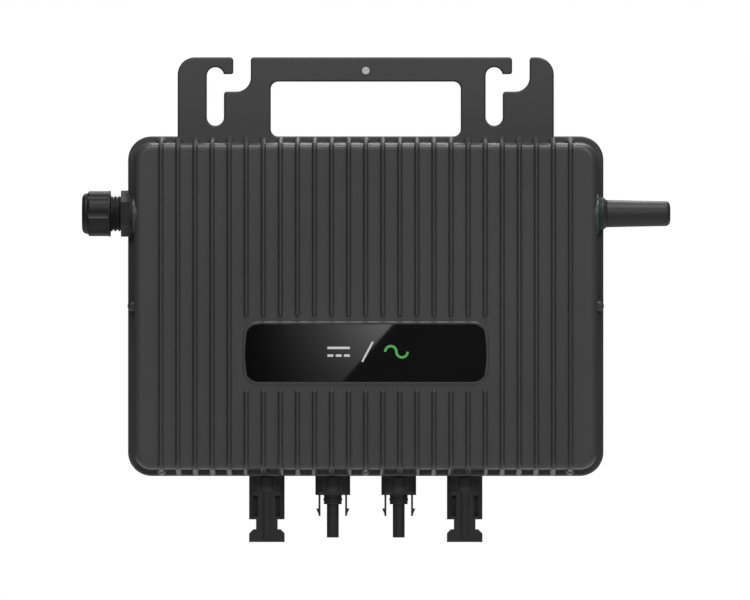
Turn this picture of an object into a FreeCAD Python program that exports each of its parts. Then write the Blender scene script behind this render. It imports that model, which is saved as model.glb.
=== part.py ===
"""Grid-tied micro inverter for two solar panels, in millimetres.

Frame: the origin is the middle of the case, on the plane of the hanger's back face, which lies
against the mounting rail. +X is right as seen from the front, +Z is up, and the front faces -Y.
"""

import FreeCAD, Part
import Sketcher
import math
import os
import re

Vector = FreeCAD.Vector
Rotation = FreeCAD.Rotation

SIZES = {
    # rear case: plate, hanger and shallow tub in one casting
    "PlateWidth": 262.0, "PlateHeight": 187.2, "PlateCorner": 13.0, "PlateThick": 3.0,
    "PlateBevel": 0.8, "HangerWidth": 207.4, "HangerTop": 137.2, "HangerCorner": 9.6,
    "TubWidth": 248.0, "TubHeight": 172.0, "TubCorner": 12.0, "TubDepth": 15.5, "CaseWall": 2.5,
    "HandleWidth": 104.7, "HandleBottom": 93.6, "HandleTop": 123.8, "HandleCorner": 4.1,
    "HookSlotWidth": 9.4, "HookSlotTop": 131.7, "HookSlotBottom": 99.5, "HookLeft": -82.9,
    "HookRight": 70.8, "HookGapStart": 9.9, "HookGapEnd": 19.5, "HookTip": 127.9,
    "HookLedge": 118.3, "HookSweep": 7.8, "HookRound": 1.8, "HookLip": 1.3, "HookOpen": 2.0,
    "EarthZ": 129.8, "EarthHole": 1.4, "FieldWidth": 110.0, "FieldHeight": 62.0,
    "FieldSink": 0.5, "MarkRadius": 4.0, "MarkX": 92.0, "MarkZ": 55.0,
    # front housing: ribbed shell
    "HousingWidth": 255.4, "HousingHeight": 180.6, "HousingCorner": 9.5, "HousingDepth": 22.8,
    "DraftSide": 0.7, "DraftEnd": 1.1, "EdgeRound": 3.4, "CavityWidth": 248.8,
    "CavityHeight": 174.0, "RimWidth": 243.4, "RimHeight": 167.4, "RimDepth": 4.0,
    "RibPitch": 9.37, "RibCount": 25, "RibRise": 2.6, "RibFoot": 1.95, "RibFace": 1.4,
    "RibBend": 0.88, "RibCrest": 0.62, "RibTipPlate": 93.5, "RibTipFace": 89.7,
    "RibTipBend": 88.3, "RibTipCrest": 86.6, "RibBendRise": 1.8, "RibEdge": 0.3,
    "RibsCutShort": 7, "RibGapTop": -5.9, "RibGapBottom": -45.9,
    "BossRadius": 3.3, "BossX": 112.4, "BossZ": 89.8, "BossSideX": 128.0, "BossLength": 12.0,
    "GrooveWidth": 2.6, "GrooveDepth": 1.5, "GrooveCentreX": 123.2, "GrooveCentreZ": 85.8,
    # badge panel
    "BadgeWidth": 132.4, "BadgeHeight": 31.9, "BadgeZ": -25.7, "BadgeCorner": 7.5,
    "BadgeBow": 1.8, "BadgeThick": 1.0, "BadgePadRise": 0.5, "BadgeRim": 0.8, "BadgeSlope": 1.2,
    # side seats for the cable gland and the antenna
    "SeatX": 128.0, "SeatY": -14.4, "SeatZ": 50.9, "SeatRadius": 11.0, "SeatDepth": 9.8,
    "GlandHole": 8.0, "AntennaHole": 4.0, "HexCorner": 12.7, "FluteRadius": 4.2,
    "FluteCentre": 15.6, "FluteCount": 8,
    # fasteners
    "ScrewHole": 1.7, "ScrewRadius": 1.45, "ScrewLength": 11.0, "ScrewHead": 2.75,
    "ScrewSink": 1.2, "ScrewTap": 1.5,
    # direct-current connectors along the bottom
    "PortY": 7.75, "PortTop": -86.0, "CouplerX": 54.6, "PlugX": 18.2, "PortDepth": 13.6,
    "PortRoot": 4.9, "PortBore": 5.0, "PortBlockWidth": 138.0, "PortBlockHeight": 8.0,
    "CouplerWidth": 19.5, "CouplerShell": 31.6, "CouplerNeck": 37.3, "CouplerEnd": 44.1,
    "NeckWidth": 11.8, "PlugWidth": 19.2, "PlugBlock": 18.2, "PlugCollar": 23.3,
    "PlugTip": 41.7, "BarrelRadius": 4.8, "BarrelEnd": 18.0, "BarrelOut": 3.9, "BarrelStart": 8.4,
    "SpineOut": 2.65, "PortChamfer": 2.2,
    "SocketRadius": 3.45, "SocketMouth": 5.1, "TubeRadius": 3.3, "TubeBore": 2.6,
    "CollarRadius": 4.95, "PinRadius": 2.0, "PinStem": 1.5, "PinTip": 34.5,
    "FingerX": 7.35, "FingerThick": 1.1, "FingerWidth": 6.0, "FingerTop": 16.0,
    "FingerEnd": 29.8, "HookTopZ": 25.7, "HookLowZ": 29.3, "HookOut": 9.2,
    # boards inside
    "BoardWidth": 232.0, "BoardHeight": 154.0, "BoardThick": 1.6, "BoardFront": 6.0,
    "BoardZ": 3.0, "StandoffX": 108.0, "StandoffZ": 68.0, "StandoffRadius": 3.0,
    "FrontInner": -23.0,
}

doc = FreeCAD.newDocument("MicroInverter")
sheet = doc.addObject("Spreadsheet::Sheet", "Sizes")
for row, (alias, value) in enumerate(SIZES.items(), start=1):
    sheet.set(f"A{row}", alias)
    sheet.set(f"B{row}", str(value))
    sheet.setAlias(f"B{row}", alias)
doc.recompute()

NODES = []


def size(formula):
    """The number that a formula of sheet aliases comes to."""
    return float(sheet.evalExpression(formula))


def bind(target, path, formula):
    """Ties a property to a formula of sheet aliases."""
    target.setExpression(path, re.sub(r"\b([A-Z][A-Za-z]+)\b", r"Sizes.\1", formula))


def node(shape_object, name):
    """Marks a finished object as a sub-part; its label names its file."""
    shape_object.Label = name
    NODES.append(shape_object)
    return shape_object


def place(target, x="0", y="0", z="0", turn=None):
    """Puts an object at a formula position, after an optional turn."""
    if turn:
        target.Placement = FreeCAD.Placement(Vector(), turn)
    for axis, formula in (("x", x), ("y", y), ("z", z)):
        bind(target, "Placement.Base." + axis, formula)
    return target


ALONG_Y = Rotation(Vector(1, 0, 0), -90)
OUT_LEFT = Rotation(Vector(0, 0, 1), 180)
DOWNWARD = Rotation(Vector(0, 1, 0), 90)


def block(name, wide, deep, tall, x="0", y="0", z="0"):
    """A box given by its sizes and the position of its centre."""
    solid = doc.addObject("Part::Box", name)
    for prop, formula in (("Length", wide), ("Width", deep), ("Height", tall)):
        bind(solid, prop, formula)
    return place(solid, f"({x}) - ({wide}) / 2", f"({y}) - ({deep}) / 2", f"({z}) - ({tall}) / 2")


def rod(name, radius, length, x="0", y="0", z="0", turn=None):
    """A cylinder from its base point, upright unless it is turned."""
    solid = doc.addObject("Part::Cylinder", name)
    bind(solid, "Radius", radius)
    bind(solid, "Height", length)
    return place(solid, x, y, z, turn)


def join(name, pieces):
    """One solid from several that touch."""
    fuse = doc.addObject("Part::MultiFuse", name)
    fuse.Shapes = pieces
    fuse.Refine = True
    return fuse


def carve(name, base, tools):
    """The base less the tools."""
    cut = doc.addObject("Part::Cut", name)
    cut.Base = base
    cut.Tool = tools[0] if len(tools) == 1 else join(name + "_tools", tools)
    return cut


def group(name, source, places):
    """Separate copies of one piece, as one sub-part."""
    doc.recompute()
    copies = []
    for point in places:
        copies.append(source.Shape.translated(Vector(*point)))
    many = doc.addObject("Part::Feature", name)
    many.Shape = Part.makeCompound(copies)
    return node(many, name)


def sketch_on(body, plane_role, name):
    """A sketch on one of the body's own origin planes."""
    sketch = body.newObject("Sketcher::SketchObject", name)
    plane = [f for f in body.Origin.OriginFeatures if f.Role == plane_role][0]
    sketch.AttachmentSupport = [(plane, "")]
    sketch.MapMode = "FlatFace"
    return sketch


def pin_point(sketch, geometry, end, x, y):
    """Holds one end of a line at a formula position."""
    for kind, formula in (("DistanceX", x), ("DistanceY", y)):
        value = size(formula)
        index = sketch.addConstraint(Sketcher.Constraint(kind, -1, 1, geometry, end, value))
        bind(sketch, f"Constraints[{index}]", formula)


def turned(name, profile, x, y, z, turn):
    """A body of revolution about its own X axis from (distance, radius) formulas."""
    body = doc.addObject("PartDesign::Body", name)
    sketch = sketch_on(body, "XY_Plane", name + "_profile")
    points = [Vector(size(a), size(r), 0) for a, r in profile]
    count = len(points)
    for i in range(count):
        sketch.addGeometry(Part.LineSegment(points[i], points[(i + 1) % count]), False)
    for i in range(count):
        sketch.addConstraint(Sketcher.Constraint("Coincident", i, 2, (i + 1) % count, 1))
    for i in range(count):
        pin_point(sketch, i, 1, *profile[i])
    spin = body.newObject("PartDesign::Revolution", name + "_spin")
    spin.Profile = sketch
    spin.ReferenceAxis = (sketch, ["H_Axis"])
    spin.Angle = 360
    return place(body, x, y, z, turn)


def rounded_rectangle(sketch, wide, tall, corner, x="0", z="0"):
    """A closed outline with four tangent corner arcs, centred on a formula position."""
    w, h, r = size(wide) / 2, size(tall) / 2, size(corner)
    cx, cz = size(x), size(z)
    lines = (((-w + r, -h), (w - r, -h)), ((w, -h + r), (w, h - r)),
             ((w - r, h), (-w + r, h)), ((-w, h - r), (-w, -h + r)))
    first = sketch.GeometryCount
    for start, end in lines:
        a = Vector(cx + start[0], cz + start[1], 0)
        b = Vector(cx + end[0], cz + end[1], 0)
        sketch.addGeometry(Part.LineSegment(a, b), False)
    for quarter, (sx, sz) in enumerate(((1, -1), (1, 1), (-1, 1), (-1, -1))):
        centre = Vector(cx + sx * (w - r), cz + sz * (h - r), 0)
        circle = Part.Circle(centre, Vector(0, 0, 1), r)
        start = (quarter - 1) * math.pi / 2
        sketch.addGeometry(Part.ArcOfCircle(circle, start, start + math.pi / 2), False)
    for side in range(4):
        line, arc, following = first + side, first + 4 + side, first + (side + 1) % 4
        sketch.addConstraint(Sketcher.Constraint("Tangent", line, 2, arc, 1))
        sketch.addConstraint(Sketcher.Constraint("Tangent", arc, 2, following, 1))
    for side in (0, 2):
        sketch.addConstraint(Sketcher.Constraint("Horizontal", first + side))
        sketch.addConstraint(Sketcher.Constraint("Vertical", first + side + 1))
    for arc in range(3):
        sketch.addConstraint(Sketcher.Constraint("Equal", first + 4 + arc, first + 5 + arc))
    radius = sketch.addConstraint(Sketcher.Constraint("Radius", first + 4, r))
    bind(sketch, f"Constraints[{radius}]", corner)
    pin_point(sketch, first, 1, f"({x}) - ({wide}) / 2 + ({corner})", f"({z}) - ({tall}) / 2")
    pin_point(sketch, first + 2, 1, f"({x}) + ({wide}) / 2 - ({corner})", f"({z}) + ({tall}) / 2")


def round_holes(sketch, radius, places):
    """Circles of one radius at formula positions."""
    for x, z in places:
        circle = Part.Circle(Vector(size(x), size(z), 0), Vector(0, 0, 1), size(radius))
        index = sketch.addGeometry(circle, False)
        held = sketch.addConstraint(Sketcher.Constraint("Radius", index, size(radius)))
        bind(sketch, f"Constraints[{held}]", radius)
        pin_point(sketch, index, 3, x, z)


def pad(body, name, sketch, length, backwards=False):
    """Material raised from a sketch; backwards means towards +Y from the XZ plane."""
    feature = body.newObject("PartDesign::Pad", name)
    feature.Profile = sketch
    bind(feature, "Length", length)
    feature.Reversed = backwards
    return feature


def pocket(body, name, sketch, length, forwards=False, both_ways=False):
    """Material taken from a sketch, towards +Y from the XZ plane unless it says otherwise."""
    feature = body.newObject("PartDesign::Pocket", name)
    feature.Profile = sketch
    bind(feature, "Length", length)
    feature.Reversed = forwards
    if both_ways:
        feature.SideType = "Symmetric"
    return feature


# ---------------------------------------------------------------- rear case


def screw_places():
    """The eight case screws: three along the top and bottom and one at each side."""
    places = []
    for z in ("BossZ", "-BossZ"):
        for x in ("-BossX", "0", "BossX"):
            places.append((x, z))
    places += [("-BossSideX", "0"), ("BossSideX", "0")]
    return places


def port_places():
    """Where the four direct-current connectors stand."""
    return ("-CouplerX", "-PlugX", "PlugX", "CouplerX")


def hook_outline(sketch, slot_x):
    """The closed outline of one hook slot and the gap beside it that lets a bolt in."""
    half = size("HookSlotWidth") / 2
    left, right = slot_x - half, slot_x + half
    gap_left, gap_right = slot_x + size("HookGapStart"), slot_x + size("HookGapEnd")
    arch, ledge, tip = size("HookSlotTop") - half, size("HookLedge"), size("HookTip")
    sweep, lip, small = size("HookSweep"), size("HookLip"), size("HookRound")
    shoulder, open_top = size("HangerTop") - small, size("HangerTop + HookOpen")
    foot = size("HookSlotBottom") + half
    arch_end = math.degrees(math.asin((tip - arch) / half))
    cusp = slot_x + math.sqrt(half ** 2 - (tip - arch) ** 2)

    def line(x0, z0, x1, z1):
        return Part.LineSegment(Vector(x0, z0, 0), Vector(x1, z1, 0))

    def arc(x, z, radius, start, end):
        circle = Part.Circle(Vector(x, z, 0), Vector(0, 0, 1), radius)
        return Part.ArcOfCircle(circle, math.radians(start), math.radians(end))

    pieces = [
        line(gap_left - small, open_top, gap_right + small, open_top),
        line(gap_right + small, open_top, gap_right + small, shoulder + small),
        arc(gap_right + small, shoulder, small, 90, 180),
        line(gap_right, shoulder, gap_right, ledge + sweep),
        arc(gap_right - sweep, ledge + sweep, sweep, -90, 0),
        line(gap_right - sweep, ledge, right + small, ledge),
        arc(right + small, ledge - small, small, 90, 180),
        line(right, ledge - small, right, foot),
        arc(slot_x, foot, half, 180, 360),
        line(left, foot, left, arch),
        arc(slot_x, arch, half, arch_end, 180),
        line(cusp, tip, gap_left - lip, tip),
        arc(gap_left - lip, tip + lip, lip, 270, 360),
        line(gap_left, tip + lip, gap_left, shoulder),
        arc(gap_left - small, shoulder, small, 0, 90),
        line(gap_left - small, shoulder + small, gap_left - small, open_top),
    ]
    for piece in pieces:
        sketch.addGeometry(piece, False)


def edges_where(shape, test):
    """Names of the edges that pass a test."""
    return [f"Edge{i}" for i, edge in enumerate(shape.Edges, start=1) if test(edge)]


def flat_at(edge, y, tolerance=0.01):
    """Does the whole edge lie at this depth?"""
    box = edge.BoundBox
    return abs(box.YMin - y) < tolerance and abs(box.YMax - y) < tolerance


def rear_case():
    body = doc.addObject("PartDesign::Body", "rear_case")
    outlines = (
        ("plate", "PlateWidth", "PlateHeight", "PlateCorner", "0", "PlateThick", False),
        ("hanger", "HangerWidth", "HangerTop - 40", "HangerCorner", "HangerTop / 2 + 20",
         "PlateThick", False),
        ("tub", "TubWidth", "TubHeight", "TubCorner", "0", "TubDepth", True),
    )
    for name, wide, tall, corner, z, length, backwards in outlines:
        sketch = sketch_on(body, "XZ_Plane", name + "_outline")
        rounded_rectangle(sketch, wide, tall, corner, "0", z)
        pad(body, name, sketch, length, backwards)
    handle = sketch_on(body, "XZ_Plane", "handle_outline")
    rounded_rectangle(handle, "HandleWidth", "HandleTop - HandleBottom", "HandleCorner", "0",
                      "(HandleTop + HandleBottom) / 2")
    pocket(body, "handle", handle, "4 * PlateThick", both_ways=True)
    for side, alias in (("left", "HookLeft"), ("right", "HookRight")):
        hook = sketch_on(body, "XZ_Plane", f"hook_{side}_outline")
        hook_outline(hook, size(alias))
        pocket(body, f"hook_{side}", hook, "4 * PlateThick", both_ways=True)
    inside = sketch_on(body, "XZ_Plane", "inside_outline")
    rounded_rectangle(inside, "TubWidth - 2 * CaseWall", "TubHeight - 2 * CaseWall",
                      "TubCorner - CaseWall")
    pocket(body, "inside", inside, "2 * (TubDepth - CaseWall)", both_ways=True)
    ledge = sketch_on(body, "XZ_Plane", "port_block_outline")
    rounded_rectangle(ledge, "PortBlockWidth", "PortBlockHeight", "1", "0",
                      "PortTop + PortBlockHeight / 2")
    pad(body, "port_block", ledge, "TubDepth - CaseWall / 2", True)
    relief = sketch_on(body, "XZ_Plane", "port_relief_outline")
    rounded_rectangle(relief, "PortBlockWidth", "10", "0.5", "0", "PortTop - 5")
    pocket(body, "port_relief", relief, "0.4", forwards=True)
    back_face = FreeCAD.Placement(Vector(0, 0, size("FieldSink - TubDepth")), Rotation())
    field = sketch_on(body, "XZ_Plane", "field_outline")
    rounded_rectangle(field, "FieldWidth", "FieldHeight", "4")
    field.AttachmentOffset = back_face
    pocket(body, "blank_field", field, "2 * FieldSink")
    marks = sketch_on(body, "XZ_Plane", "mark_outlines")
    round_holes(marks, "MarkRadius", [(x, z) for x in ("-MarkX", "MarkX")
                                      for z in ("-MarkZ", "0", "MarkZ")])
    marks.AttachmentOffset = back_face
    pocket(body, "ejector_marks", marks, "2 * FieldSink")
    ports = sketch_on(body, "XY_Plane", "port_bores")
    round_holes(ports, "PortBore", [(x, "PortY") for x in port_places()])
    pocket(body, "ports", ports, "-PortTop + 5")
    holes = sketch_on(body, "XZ_Plane", "screw_holes")
    round_holes(holes, "ScrewHole", screw_places())
    pocket(body, "screws_through", holes, "2 * PlateThick + 1", both_ways=True)
    earth = sketch_on(body, "XZ_Plane", "earth_hole")
    round_holes(earth, "EarthHole", [("0", "EarthZ")])
    pocket(body, "earth_through", earth, "2 * PlateThick + 1", both_ways=True)
    doc.recompute()
    bored = body.Tip
    sink = body.newObject("PartDesign::Chamfer", "screw_sinks")
    hole = size("ScrewHole")

    def sunk(edge):
        round_edge = isinstance(edge.Curve, Part.Circle)
        return round_edge and abs(edge.Curve.Radius - hole) < 0.01 and edge.BoundBox.YMin > -1

    sink.Base = (bored, edges_where(bored.Shape, sunk))
    bind(sink, "Size", "ScrewSink")
    doc.recompute()
    bevel = body.newObject("PartDesign::Chamfer", "front_bevel")
    inner = size("TubWidth") / 2

    def outer_front(edge):
        box = edge.BoundBox
        beyond = max(abs(box.XMin), abs(box.XMax)) > inner or box.ZMax > size("TubHeight") / 2
        beyond = beyond or box.ZMin < -size("TubHeight") / 2
        is_hole = isinstance(edge.Curve, Part.Circle) and abs(edge.Curve.Radius - hole) < 0.4
        return beyond and not is_hole and flat_at(edge, -size("PlateThick"))

    bevel.Base = (sink, edges_where(sink.Shape, outer_front))
    bind(bevel, "Size", "PlateBevel")
    node(body, "rear_case")


def earth_rivet():
    stem = rod("rivet_stem", "EarthHole - 0.05", "PlateThick + 0.3", z="EarthZ",
               y="-PlateThick - 0.3", turn=ALONG_Y)
    head = rod("rivet_head", "2.05", "0.5", z="EarthZ", y="-PlateThick - 0.55", turn=ALONG_Y)
    dimple = rod("rivet_dimple", "0.9", "0.3", z="EarthZ", y="-PlateThick - 0.6", turn=ALONG_Y)
    node(carve("earth_rivet", join("rivet", [stem, head]), [dimple]), "earth_rivet")


def case_screws():
    head = doc.addObject("Part::Cone", "screw_head")
    bind(head, "Radius1", "ScrewHead")
    bind(head, "Radius2", "ScrewRadius")
    bind(head, "Height", "ScrewHead - ScrewRadius")
    place(head, "0", "-0.05", "0", Rotation(Vector(1, 0, 0), 90))
    shank = rod("screw_shank", "ScrewRadius", "ScrewLength", y="-ScrewLength - 0.3", turn=ALONG_Y)
    recess = doc.addObject("Part::Prism", "screw_recess")
    recess.Polygon = 6
    bind(recess, "Circumradius", "1.0")
    bind(recess, "Height", "1.2")
    place(recess, "0", "-1.2", "0", ALONG_Y)
    screw = carve("screw", join("screw_solid", [head, shank]), [recess])
    group("case_screws", screw, [(size(x), 0, size(z)) for x, z in screw_places()])


# ------------------------------------------------------------ front housing


def rounded_wire(wide, tall, corner, y, z=0.0):
    """A rounded rectangle facing the front, at one depth."""
    w, h = wide / 2, tall / 2
    corners = ((w, -h), (w, h), (-w, h), (-w, -h))
    edges = []
    for i, (cx, cz) in enumerate(corners):
        sx, sz = math.copysign(1, cx), math.copysign(1, cz)
        middle = Vector(cx - sx * corner, y, z + cz - sz * corner)
        start = math.radians(-90 + 90 * i)
        points = []
        for step in (0, math.pi / 4, math.pi / 2):
            along = Vector(math.cos(start + step), 0, math.sin(start + step))
            points.append(middle + along * corner)
        edges.append((points, Part.Arc(*points).toShape()))
    outline = []
    for i, (points, arc) in enumerate(edges):
        outline.append(arc)
        outline.append(Part.makeLine(points[2], edges[(i + 1) % 4][0][0]))
    return Part.Wire(outline)


def rounded_bar(wide, tall, corner, y_back, y_front, z=0.0, draft_x=0.0, draft_z=0.0):
    """A rounded rectangular solid between two depths, narrower towards the front."""
    back = rounded_wire(wide, tall, corner, y_back, z)
    front = rounded_wire(wide - 2 * draft_x, tall - 2 * draft_z, corner, y_front, z)
    return Part.makeLoft([back, front], True, True)


def stadium(x, low, high, radius, y):
    """The outline of an upright strip with round ends."""
    top, bottom = high - radius, low + radius
    right, left = x + radius, x - radius
    return Part.Wire([
        Part.makeLine(Vector(right, y, bottom), Vector(right, y, top)),
        Part.Arc(Vector(right, y, top), Vector(x, y, high), Vector(left, y, top)).toShape(),
        Part.makeLine(Vector(left, y, top), Vector(left, y, bottom)),
        Part.Arc(Vector(left, y, bottom), Vector(x, y, low), Vector(right, y, bottom)).toShape(),
    ])


def rib(x, low_end, high_end):
    """One drafted rib. None for an end means that it runs down over the wall to the plate."""
    plate, face = -size("PlateThick"), -size("PlateThick + HousingDepth")
    bend, crest, edge = face - size("RibBendRise"), face - size("RibRise"), size("RibEdge")
    depths = (plate, face, bend, crest + edge, crest)
    foot = [size(name) for name in ("RibTipPlate", "RibTipFace", "RibTipBend", "RibTipCrest",
                                    "RibTipCrest - RibEdge")]
    radii = [size(name) for name in ("RibFoot", "RibFace", "RibBend", "RibCrest",
                                     "RibCrest - RibEdge")]
    insets = [max(0.0, size("RibFace") - radius) for radius in radii]
    highs = foot if high_end is None else [high_end - inset for inset in insets]
    lows = [-z for z in foot] if low_end is None else [low_end + inset for inset in insets]
    wires = [stadium(x, lo, hi, r, y) for lo, hi, r, y in zip(lows, highs, radii, depths)]
    return Part.makeLoft(wires, True, True)


def ribs():
    """All the ribs; the middle ones stop short above and below the badge."""
    count, pitch = int(size("RibCount")), size("RibPitch")
    bars = []
    for k in range(-(count // 2), count // 2 + 1):
        if abs(k) <= size("RibsCutShort"):
            bars.append(rib(k * pitch, size("RibGapTop"), None))
            bars.append(rib(k * pitch, None, size("RibGapBottom")))
        else:
            bars.append(rib(k * pitch, None, None))
    return bars


def along_y(radius, x, z, y_back, y_front, tip_radius=None):
    """A round pillar pointing to the front, tapered if it has a tip radius."""
    start, length = Vector(x, y_back, z), y_back - y_front
    if tip_radius is None:
        return Part.makeCylinder(radius, length, start, Vector(0, -1, 0))
    return Part.makeCone(radius, tip_radius, length, start, Vector(0, -1, 0))


def along_x(radius, x_from, x_to):
    """A round bar between two X places on the axis of the side seats."""
    start = Vector(min(x_from, x_to), size("SeatY"), size("SeatZ"))
    return Part.makeCylinder(radius, abs(x_to - x_from), start, Vector(1, 0, 0))


def badge_shape(margin, y_back, y_front):
    """The badge's outline, with ends that bow outwards, grown by a margin."""
    wide, tall = size("BadgeWidth") + 2 * margin, size("BadgeHeight") + 2 * margin
    bar = rounded_bar(wide, tall, size("BadgeCorner") + margin, y_back, y_front, size("BadgeZ"))
    bow = (size("BadgeHeight") / 2) ** 2 / (2 * size("BadgeBow")) + size("BadgeBow") / 2
    for side in (-1, 1):
        centre = side * (wide / 2 - bow)
        bar = bar.common(along_y(bow, centre, size("BadgeZ"), y_back, y_front))
    return bar


def housing_outside():
    """Shell, ribs, screw pillars, side seats and the raised pad, still solid."""
    plate, face = -size("PlateThick"), -size("PlateThick + HousingDepth")
    shell = rounded_bar(size("HousingWidth"), size("HousingHeight"), size("HousingCorner"), plate,
                        face, 0.0, size("DraftSide"), size("DraftEnd"))
    rim = [edge for edge in shell.Edges if flat_at(edge, face)]
    shell = shell.makeFillet(size("EdgeRound"), rim)
    rise, slope = size("BadgePadRise"), size("BadgeSlope")
    margin = size("BadgeRim") + slope
    pad_back = rounded_wire(size("BadgeWidth") + 2 * margin, size("BadgeHeight") + 2 * margin,
                            size("BadgeCorner") + margin, face + 0.5, size("BadgeZ"))
    margin -= slope
    pad_front = rounded_wire(size("BadgeWidth") + 2 * margin, size("BadgeHeight") + 2 * margin,
                             size("BadgeCorner") + margin, face - rise, size("BadgeZ"))
    pieces = ribs() + [Part.makeLoft([pad_back, pad_front], True, True)]
    for x, z in screw_places():
        pillar = along_y(size("BossRadius"), size(x), size(z), plate,
                         plate - size("BossLength"), size("BossRadius") - 0.9)
        top = [edge for edge in pillar.Edges if flat_at(edge, plate - size("BossLength"))]
        pieces.append(pillar.makeFillet(1.2, top))
    seat = size("SeatX")
    for side in (-1, 1):
        pieces.append(along_x(size("SeatRadius") - 0.2, side * (seat - 5), side * seat))
    return shell.multiFuse(pieces)


def groove_ring(half, y_back):
    """The ring round the case that the gasket's groove takes up."""
    y_front = -size("PlateThick + GrooveDepth")
    wide, tall = size("GrooveCentreX"), size("GrooveCentreZ")
    outer = rounded_bar(2 * (wide + half), 2 * (tall + half), 7.0 + half, y_back, y_front)
    inner = rounded_bar(2 * (wide - half), 2 * (tall - half), 7.0 - half, y_back, y_front)
    return outer.cut(inner)


def front_housing():
    plate, face = -size("PlateThick"), -size("PlateThick + HousingDepth")
    rim_front, inner = plate - size("RimDepth"), size("SeatX - SeatDepth")
    cavity = [
        rounded_bar(size("CavityWidth"), size("CavityHeight"), 7.0, rim_front,
                    size("FrontInner")),
        rounded_bar(size("RimWidth"), size("RimHeight"), 6.0, plate + 1, rim_front - 0.5),
    ]
    bosses = [along_x(size("SeatRadius") - 0.6, side * inner, side * size("CavityWidth / 2 + 1"))
              for side in (-1, 1)]
    body = housing_outside().cut(cavity).multiFuse(bosses)
    cuts = [badge_shape(0.1, face + size("BadgeThick - BadgePadRise"), face - 5),
            groove_ring(size("GrooveWidth") / 2, plate + 1),
            along_x(size("GlandHole"), -size("SeatX") - 1, -inner + 1),
            along_x(size("AntennaHole"), size("SeatX") + 1, inner - 1)]
    for x, z in screw_places():
        cuts.append(along_y(size("ScrewTap"), size(x), size(z), plate + 1, plate - 9.5))
    feature = doc.addObject("Part::Feature", "front_housing")
    feature.Shape = body.cut(cuts).removeSplitter()
    node(feature, "front_housing")


def case_gasket():
    """The cord seal in the housing's groove, pressed between housing and plate."""
    feature = doc.addObject("Part::Feature", "case_gasket")
    feature.Shape = groove_ring(size("GrooveWidth") / 2 - 0.1, -size("PlateThick"))
    node(feature, "case_gasket")


def badge_panel():
    face = -size("PlateThick + HousingDepth")
    front = face - size("BadgePadRise")
    panel = badge_shape(0.0, front + size("BadgeThick"), front)
    panel = panel.makeFillet(0.25, [edge for edge in panel.Edges if flat_at(edge, front)])
    feature = doc.addObject("Part::Feature", "badge_panel")
    feature.Shape = panel
    node(feature, "badge_panel")


# ------------------------------------------------------- cable gland, antenna


def gland_part(name, profile):
    """A turned piece of the gland, measured outwards from the left seat."""
    return turned(name, profile, "-SeatX", "SeatY", "SeatZ", OUT_LEFT)


def gland_body():
    thread, root, pitch = "9.75", "8.95", 2.1
    outside = [("-9.5", "7.9"), ("1.7", "7.9"), ("1.7", "9.9"), ("6.5", "9.9"), ("6.5", root)]
    for turn in range(5):
        start = 6.7 + turn * pitch
        outside += [(str(start), root), (str(start + 0.7), thread), (str(start + 1.0), thread),
                    (str(start + 1.7), root)]
    outside += [("17.4", root), ("17.4", "7.9"), ("11.0", "7.9"), ("10.0", "6.4"),
                ("-9.5", "6.4")]
    body = gland_part("gland_body", outside)
    hexagon = sketch_on(body, "YZ_Plane", "hexagon")
    corner = size("HexCorner")
    for i in range(6):
        ends = [Vector(corner * math.sin(math.radians(a)), corner * math.cos(math.radians(a)), 0)
                for a in (60 * i, 60 * i + 60)]
        hexagon.addGeometry(Part.LineSegment(*ends), False)
    hexagon.addGeometry(Part.Circle(Vector(), Vector(0, 0, 1), 9.0), False)
    hexagon.AttachmentOffset = FreeCAD.Placement(Vector(0, 0, 1.6), Rotation())
    pad(body, "hex", hexagon, "5.0")
    node(body, "gland_body")


def gland_gasket():
    node(gland_part("gland_gasket", [("0.02", "8.2"), ("1.58", "8.2"), ("1.58", "11"),
                                     ("0.02", "11")]), "gland_gasket")


def gland_seal():
    node(gland_part("gland_seal", [("11.6", "6"), ("21.6", "6"), ("22.4", "6.8"),
                                   ("22.4", "7.6"), ("11.6", "7.6")]), "gland_seal")


def gland_claw():
    """The ring of clamping claws round the seal."""
    ring = gland_part("claw_ring", [("17.7", "7.8"), ("22", "7.8"), ("22", "8.8"),
                                    ("18.6", "9.5"), ("17.7", "9.5")])
    slots = [block(f"claw_slot_{i}", "3", "30", "1.2", "-SeatX - 20.5", "SeatY", "SeatZ")
             for i in range(4)]
    for i, slot in enumerate(slots):
        slot.Placement = FreeCAD.Placement(Vector(), Rotation(Vector(1, 0, 0), 45 * i))
        angle = math.radians(45 * i)
        deep, tall = 15.0, 0.6
        for axis, formula in (("x", "-SeatX - 22"),
                              ("y", f"SeatY - {deep * math.cos(angle) - tall * math.sin(angle)}"),
                              ("z", f"SeatZ - {deep * math.sin(angle) + tall * math.cos(angle)}")):
            bind(slot, "Placement.Base." + axis, formula)
    node(carve("gland_claw", ring, slots), "gland_claw")


def gland_nut():
    profile = [("12.3", "10"), ("12.3", "12.3"), ("12.65", "12.65"), ("23.9", "12.65"),
               ("24.9", "11.2"), ("26.2", "11"), ("27.2", "10.3"), ("27.9", "9"),
               ("27.9", "7.6"),
               ("27.3", "7"), ("25", "7"), ("23.4", "10")]
    body = gland_part("gland_nut", profile)
    flute = sketch_on(body, "YZ_Plane", "flute_outline")
    round_holes(flute, "FluteRadius", [("FluteCentre", "0")])
    flute.AttachmentOffset = FreeCAD.Placement(Vector(0, 0, 13.4), Rotation())
    cut = pocket(body, "flute", flute, "12", forwards=True)
    pattern = body.newObject("PartDesign::PolarPattern", "flutes")
    pattern.Originals = [cut]
    axis = [f for f in body.Origin.OriginFeatures if f.Role == "X_Axis"][0]
    pattern.Axis = (axis, [""])
    pattern.Angle = 360
    pattern.Occurrences = int(size("FluteCount"))
    body.Tip = pattern
    node(body, "gland_nut")


def antenna_part(name, profile):
    """A turned piece of the antenna, measured outwards from the right seat."""
    return node(turned(name, profile, "SeatX", "SeatY", "SeatZ", Rotation()), name)


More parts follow.
